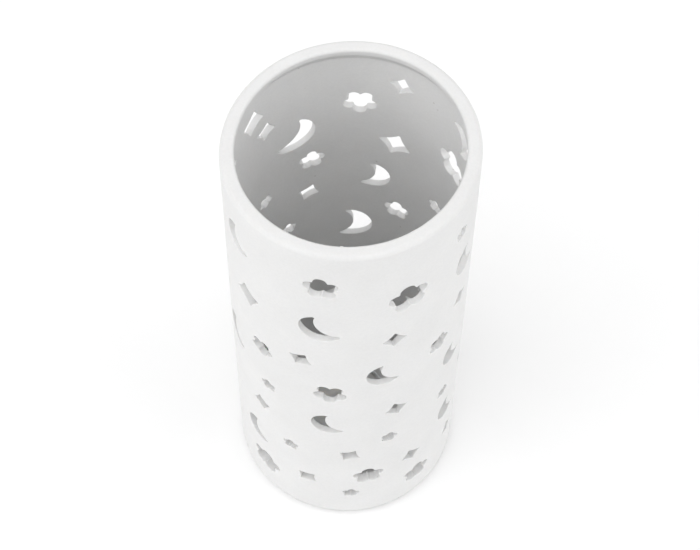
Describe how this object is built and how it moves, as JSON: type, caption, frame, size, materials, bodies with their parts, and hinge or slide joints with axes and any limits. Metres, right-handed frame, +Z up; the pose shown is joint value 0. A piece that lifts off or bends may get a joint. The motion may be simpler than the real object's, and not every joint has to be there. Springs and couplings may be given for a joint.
{
  "type": "tealight holder",
  "caption": "Tall open ceramic cylinder pierced with moons, blossoms, stars and diamonds, with a tealight standing loose on its vented floor.",
  "frame": {"origin": "centre of the underside, on the table that the pads stand on", "axes": "+Z up along the cylinder's axis through its open mouth, -Y towards the front with the large moon below the top blossom, +X to the right"},
  "size_m": [0.1, 0.1, 0.23],
  "materials": {
    "white_ceramic": "matt unglazed",
    "clear_rubber": "satin",
    "cup_aluminium": "satin",
    "candle_wax": "smooth wax",
    "tinplate": "bright",
    "wick_cotton": "braided, waxed"
  },
  "bodies": {
    "holder": {"lantern_body": "white_ceramic", "foot_pad_1": "clear_rubber", "foot_pad_2": "clear_rubber", "foot_pad_3": "clear_rubber", "foot_pad_4": "clear_rubber"},
    "tealight": {"tealight_cup": "cup_aluminium", "tealight_wax": "candle_wax", "wick_sustainer": "tinplate", "tealight_wick": "wick_cotton"}
  },
  "joints": [
    {"name": "tealight_lift", "type": "slide", "parent": "holder", "child": "tealight", "axis": [0, 0, 1], "range_m": [0, 0.24]}
  ]
}
